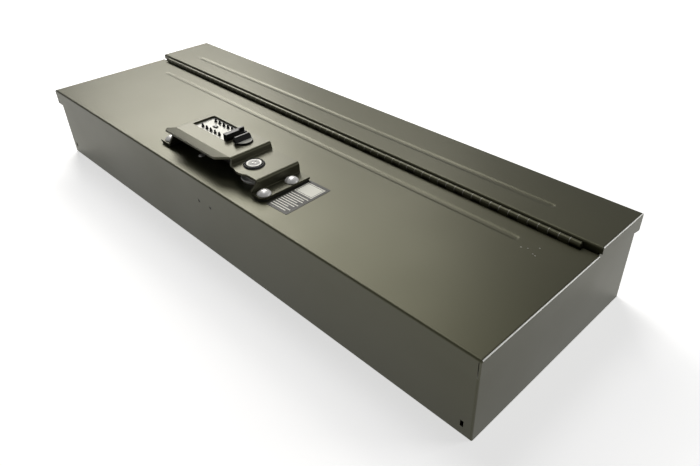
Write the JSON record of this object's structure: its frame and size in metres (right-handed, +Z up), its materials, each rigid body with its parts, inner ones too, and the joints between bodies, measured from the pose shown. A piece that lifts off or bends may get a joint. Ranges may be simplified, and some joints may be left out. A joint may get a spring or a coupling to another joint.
{
  "type": "cash box",
  "caption": "Long low sheet-steel lock box with a piano-hinged lid, a fixed rear panel and a lid bracket that carries a push-button lock and a key cam lock.",
  "frame": {"origin": "middle of the underside of the body, on the surface that it stands on", "axes": "+X along the length of the box, +Y towards the fixed rear panel, +Z up"},
  "size_m": [0.87, 0.296, 0.1504],
  "materials": {
    "painted_steel": "satin olive-black powder coat",
    "dark_steel": "satin black coat",
    "bracket_paint": "semi-gloss grey-black powder coat",
    "bright_nickel": "bright nickel plate",
    "satin_metal": "satin silver",
    "zinc_plate": "zinc plate",
    "black_plastic": "matt black moulding",
    "black_button": "satin black moulding",
    "grey_plastic": "satin grey moulding",
    "spring_steel": "bright wire",
    "black_rubber": "matt black rubber sheet",
    "label_film": "printed film, left bare"
  },
  "bodies": {
    "box": {"body_tub": "painted_steel", "rear_top_panel": "painted_steel", "front_catch": "dark_steel", "catch_rivets": "dark_steel", "hinge_leaf_fixed": "painted_steel", "hinge_pin": "dark_steel"},
    "lid": {"lid": "painted_steel", "hinge_leaf_lid": "painted_steel", "lock_bracket": "bracket_paint", "foot_gaskets": "black_rubber", "bracket_bolts": "bright_nickel", "bracket_washers": "zinc_plate", "bracket_nuts": "zinc_plate", "lock_case": "black_plastic", "case_cover": "black_plastic", "case_screws": "zinc_plate", "face_panel": "satin_metal", "button_guide": "zinc_plate", "spring_1": "spring_steel", "spring_2": "spring_steel", "spring_3": "spring_steel", "spring_4": "spring_steel", "spring_5": "spring_steel", "spring_6": "spring_steel", "spring_7": "spring_steel", "spring_8": "spring_steel", "spring_9": "spring_steel", "spring_0": "spring_steel", "bolt_guide": "dark_steel", "guide_rivets": "bright_nickel", "key_lock_body": "bright_nickel", "key_lock_nut": "bright_nickel", "key_lock_collar": "bright_nickel", "info_label": "label_film"},
    "thumb_turn": {"thumb_turn": "satin_metal", "drive_spindle": "zinc_plate", "spindle_clip": "zinc_plate", "drive_cam": "zinc_plate"},
    "slide_bolt": {"slide_bolt": "zinc_plate"},
    "key_plug": {"key_plug": "bright_nickel", "key_cam": "zinc_plate", "cam_screw": "zinc_plate"},
    "clear_slide": {"clear_slide": "grey_plastic"},
    "button_1": {"button_1": "black_button"},
    "button_2": {"button_2": "black_button"},
    "button_3": {"button_3": "black_button"},
    "button_4": {"button_4": "black_button"},
    "button_5": {"button_5": "black_button"},
    "button_6": {"button_6": "black_button"},
    "button_7": {"button_7": "black_button"},
    "button_8": {"button_8": "black_button"},
    "button_9": {"button_9": "black_button"},
    "button_0": {"button_0": "black_button"}
  },
  "joints": [
    {"name": "lid_hinge", "type": "hinge", "parent": "box", "child": "lid", "pos_m": [0, 0.0532, 0.1161], "axis": [-1, 0, 0], "range_deg": [0, 95]},
    {"name": "thumb_turn_spin", "type": "hinge", "parent": "lid", "child": "thumb_turn", "pos_m": [0, -0.074, 0.13], "axis": [0, 0, -1], "range_deg": [0, 90]},
    {"name": "slide_bolt_throw", "type": "slide", "parent": "lid", "child": "slide_bolt", "axis": [0, -1, 0], "range_m": [0, 0.01697]},
    {"name": "key_turn", "type": "hinge", "parent": "lid", "child": "key_plug", "pos_m": [0.047, -0.093, 0.12], "axis": [0, 0, 1], "range_deg": [0, 90]},
    {"name": "clear_slide_push", "type": "slide", "parent": "lid", "child": "clear_slide", "axis": [1, 0, 0], "range_m": [0, 0.003], "stiffness_N_per_m": 100, "springref_m": -0.002},
    {"name": "button_1_press", "type": "slide", "parent": "lid", "child": "button_1", "axis": [0, 0, -1], "range_m": [0, 0.0015], "stiffness_N_per_m": 300, "springref_m": -0.002, "deforming": ["spring_1"]},
    {"name": "button_2_press", "type": "slide", "parent": "lid", "child": "button_2", "axis": [0, 0, -1], "range_m": [0, 0.0015], "stiffness_N_per_m": 300, "springref_m": -0.002, "deforming": ["spring_2"]},
    {"name": "button_3_press", "type": "slide", "parent": "lid", "child": "button_3", "axis": [0, 0, -1], "range_m": [0, 0.0015], "stiffness_N_per_m": 300, "springref_m": -0.002, "deforming": ["spring_3"]},
    {"name": "button_4_press", "type": "slide", "parent": "lid", "child": "button_4", "axis": [0, 0, -1], "range_m": [0, 0.0015], "stiffness_N_per_m": 300, "springref_m": -0.002, "deforming": ["spring_4"]},
    {"name": "button_5_press", "type": "slide", "parent": "lid", "child": "button_5", "axis": [0, 0, -1], "range_m": [0, 0.0015], "stiffness_N_per_m": 300, "springref_m": -0.002, "deforming": ["spring_5"]},
    {"name": "button_6_press", "type": "slide", "parent": "lid", "child": "button_6", "axis": [0, 0, -1], "range_m": [0, 0.0015], "stiffness_N_per_m": 300, "springref_m": -0.002, "deforming": ["spring_6"]},
    {"name": "button_7_press", "type": "slide", "parent": "lid", "child": "button_7", "axis": [0, 0, -1], "range_m": [0, 0.0015], "stiffness_N_per_m": 300, "springref_m": -0.002, "deforming": ["spring_7"]},
    {"name": "button_8_press", "type": "slide", "parent": "lid", "child": "button_8", "axis": [0, 0, -1], "range_m": [0, 0.0015], "stiffness_N_per_m": 300, "springref_m": -0.002, "deforming": ["spring_8"]},
    {"name": "button_9_press", "type": "slide", "parent": "lid", "child": "button_9", "axis": [0, 0, -1], "range_m": [0, 0.0015], "stiffness_N_per_m": 300, "springref_m": -0.002, "deforming": ["spring_9"]},
    {"name": "button_0_press", "type": "slide", "parent": "lid", "child": "button_0", "axis": [0, 0, -1], "range_m": [0, 0.0015], "stiffness_N_per_m": 300, "springref_m": -0.002, "deforming": ["spring_0"]}
  ],
  "couplings": [
    {"joint": "thumb_turn_spin", "follows": "slide_bolt_throw", "rad_per_m": 92.559}
  ]
}
